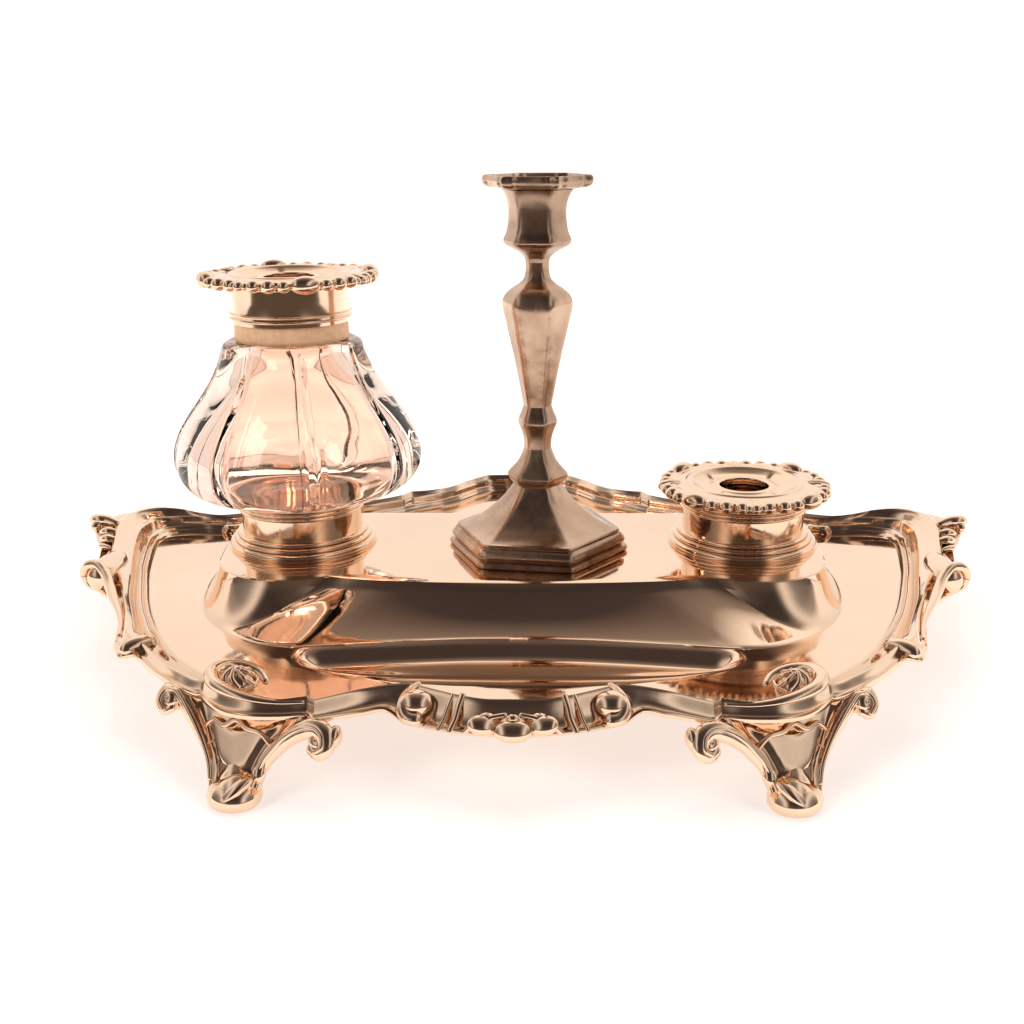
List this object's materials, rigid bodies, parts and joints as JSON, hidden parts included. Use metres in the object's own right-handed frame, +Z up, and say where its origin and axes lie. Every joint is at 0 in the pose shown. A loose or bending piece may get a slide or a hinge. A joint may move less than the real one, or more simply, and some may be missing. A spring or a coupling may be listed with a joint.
{
  "type": "inkstand with ink bottle and taperstick",
  "caption": "Silver inkstand: a shaped footed tray with a pen well and bottle galleries, a cut glass ink bottle, dipping covers and a removable hexagonal taperstick.",
  "frame": {"origin": "centre of the bounding box, on the surface that the feet stand on", "axes": "+Z up, +X to the right of a person facing the pen well, +Y towards the back of the stand, so the front faces -Y"},
  "size_m": [0.3, 0.216, 0.1403],
  "materials": {
    "silver": "hand polished silver with fine scratches",
    "glass": "clear cut and polished",
    "cement": "matte plaster",
    "baize": "felt",
    "pitch": "matte pitch and plaster filling",
    "iron": "rough iron"
  },
  "bodies": {
    "stand": {"tray": "silver", "border_front": "silver", "border_back": "silver", "border_left": "silver", "border_right": "silver", "front_shell": "silver", "scroll_front_left": "silver", "scroll_front_right": "silver", "leaf_left": "silver", "leaf_right": "silver", "foot_front_left": "silver", "foot_front_right": "silver", "foot_rear_left": "silver", "foot_rear_right": "silver", "gallery_left": "silver", "gallery_left_base": "silver", "gallery_left_rim": "silver", "gallery_right": "silver", "gallery_right_base": "silver", "gallery_right_rim": "silver"},
    "bottle": {"glass_bottle": "glass", "neck_cement": "cement", "neck_collar": "silver"},
    "cover_left": {"cover_left_plate": "silver", "cover_left_border": "silver", "cover_left_bezel": "silver"},
    "cover_right": {"cover_right_plate": "silver", "cover_right_border": "silver", "cover_right_bezel": "silver"},
    "taperstick": {"stick_base_plate": "baize", "stick_plinth": "silver", "stick_foot": "silver", "stick_loading": "pitch", "stick_rod": "iron", "stick_collar": "silver", "stick_knop": "silver", "stick_stem": "silver", "stick_socket": "silver"},
    "nozzle": {"nozzle_sleeve": "silver", "nozzle_pan": "silver"}
  },
  "joints": [
    {"name": "bottle_lift", "type": "slide", "parent": "stand", "child": "bottle", "axis": [0, 0, 1], "range_m": [0, 0.06]},
    {"name": "cover_left_lift", "type": "slide", "parent": "bottle", "child": "cover_left", "axis": [0, 0, 1], "range_m": [0, 0.03]},
    {"name": "cover_right_lift", "type": "slide", "parent": "stand", "child": "cover_right", "axis": [0, 0, 1], "range_m": [0, 0.04]},
    {"name": "taperstick_lift", "type": "slide", "parent": "stand", "child": "taperstick", "axis": [0, 0, 1], "range_m": [0, 0.05]},
    {"name": "nozzle_lift", "type": "slide", "parent": "taperstick", "child": "nozzle", "axis": [0, 0, 1], "range_m": [0, 0.035]}
  ]
}
